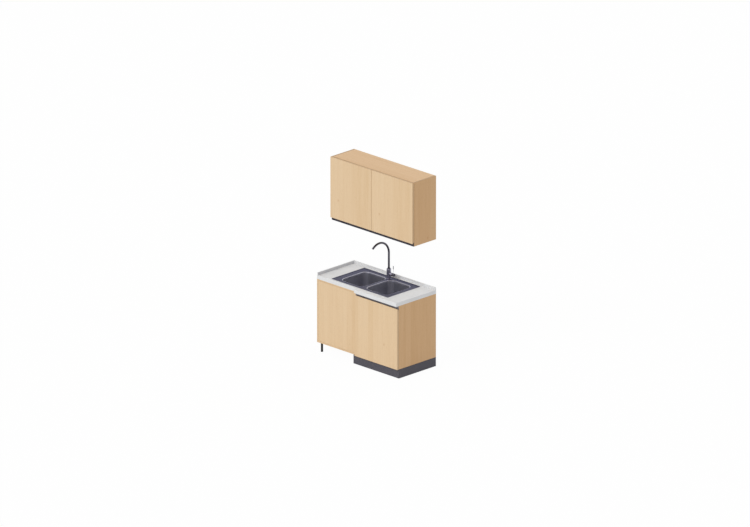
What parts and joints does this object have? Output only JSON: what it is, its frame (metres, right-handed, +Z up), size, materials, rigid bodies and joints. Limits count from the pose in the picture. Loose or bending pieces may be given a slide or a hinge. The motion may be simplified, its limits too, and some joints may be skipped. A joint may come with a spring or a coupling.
{
  "type": "corner sink unit",
  "caption": "Kitchen corner sink unit: blind-corner base cabinet with worktop, double-bowl sink and mixer tap, and a two-door wall cabinet hanging above it.",
  "frame": {"origin": "on the floor, at the middle of the footprint", "axes": "+Z up, +Y towards the wall behind the units, +X to the right seen from the front"},
  "size_m": [1.206, 0.588, 2.1],
  "materials": {
    "oak_laminate": "light oak laminate on board, upright grain, satin",
    "back_board": "thin coated fibreboard, pale",
    "worktop_laminate": "off-white laminate on board, fine matt texture",
    "grip_profile": "dark anodised aluminium, satin",
    "plinth_finish": "dark grey laminate, matt",
    "leg_plastic": "black moulded plastic",
    "sink_steel": "brushed stainless steel sheet",
    "strainer_steel": "pressed stainless steel",
    "fixing_steel": "zinc-plated steel",
    "waste_plastic": "white moulded polypropylene",
    "tap_metal": "dark grey metal, satin",
    "aerator_plastic": "dark grey plastic",
    "hinge_steel": "nickel-plated steel",
    "seal_rubber": "soft black rubber"
  },
  "bodies": {
    "root": {"base_side_left": "oak_laminate", "base_side_right": "oak_laminate", "base_bottom": "oak_laminate", "base_back": "back_board", "base_rear_rail": "oak_laminate", "base_front_rail": "oak_laminate", "blind_panel": "oak_laminate", "centre_post": "oak_laminate", "base_grip_profile": "grip_profile", "plinth_front": "plinth_finish", "plinth_return": "plinth_finish", "leg_sockets": "leg_plastic", "leg_posts": "leg_plastic", "leg_feet": "leg_plastic", "plinth_clips": "leg_plastic", "worktop": "worktop_laminate", "upstand_back": "worktop_laminate", "upstand_left": "worktop_laminate", "sink": "sink_steel", "sink_seal": "seal_rubber", "sink_clips": "fixing_steel", "strainer_bodies": "strainer_steel", "strainer_nuts": "waste_plastic", "waste_manifold": "waste_plastic", "slip_nuts": "waste_plastic", "trap_body": "waste_plastic", "trap_cup": "waste_plastic", "waste_outlet": "waste_plastic", "tap_body": "tap_metal", "tap_ring": "tap_metal", "tap_nut": "fixing_steel", "tap_inlets": "fixing_steel", "base_hinge_arms": "hinge_steel", "wall_hinge_arms": "hinge_steel", "door_bumpers": "seal_rubber", "wall_side_left": "oak_laminate", "wall_side_right": "oak_laminate", "wall_top": "oak_laminate", "wall_bottom": "oak_laminate", "wall_back": "back_board", "wall_divider": "oak_laminate", "wall_shelf_left": "oak_laminate", "wall_shelf_right": "oak_laminate", "shelf_pins": "fixing_steel", "hangers": "waste_plastic", "hanging_rail": "fixing_steel", "wall_grip_profile": "grip_profile"},
    "base_door_leaf": {"base_door": "oak_laminate", "base_door_hinge_cups": "hinge_steel"},
    "wall_left_leaf": {"wall_door_left": "oak_laminate", "wall_left_hinge_cups": "hinge_steel"},
    "wall_right_leaf": {"wall_door_right": "oak_laminate", "wall_right_hinge_cups": "hinge_steel"},
    "swivel_spout": {"spout": "tap_metal", "aerator": "aerator_plastic"},
    "temperature_knob": {"mixer_knob": "tap_metal"},
    "flow_lever": {"mixer_lever": "tap_metal"},
    "left_basket": {"basket_left": "strainer_steel"},
    "right_basket": {"basket_right": "strainer_steel"}
  },
  "joints": [
    {"name": "base_door_hinge", "type": "hinge", "parent": "root", "child": "base_door_leaf", "pos_m": [0.6015, -0.2552, 0.435], "axis": [0, 0, 1], "range_deg": [0, 100]},
    {"name": "wall_door_left_hinge", "type": "hinge", "parent": "root", "child": "wall_left_leaf", "pos_m": [-0.6015, -0.0312, 1.766], "axis": [0, 0, -1], "range_deg": [0, 100]},
    {"name": "wall_door_right_hinge", "type": "hinge", "parent": "root", "child": "wall_right_leaf", "pos_m": [0.6015, -0.0312, 1.766], "axis": [0, 0, 1], "range_deg": [0, 100]},
    {"name": "spout_swivel", "type": "hinge", "parent": "root", "child": "swivel_spout", "pos_m": [0, 0.204, 0.951], "axis": [0, 0, 1], "range_deg": [-90, 90]},
    {"name": "knob_turn", "type": "hinge", "parent": "root", "child": "temperature_knob", "pos_m": [0.052, 0.204, 0.894], "axis": [1, 0, 0], "range_deg": [-45, 45]},
    {"name": "lever_tilt", "type": "hinge", "parent": "temperature_knob", "child": "flow_lever", "pos_m": [0.0658, 0.204, 0.9024], "axis": [0, 1, 0], "range_deg": [0, 25]},
    {"name": "left_basket_lift", "type": "slide", "parent": "root", "child": "left_basket", "axis": [0, 0, 1], "range_m": [0, 0.26]},
    {"name": "right_basket_lift", "type": "slide", "parent": "root", "child": "right_basket", "axis": [0, 0, 1], "range_m": [0, 0.26]}
  ]
}
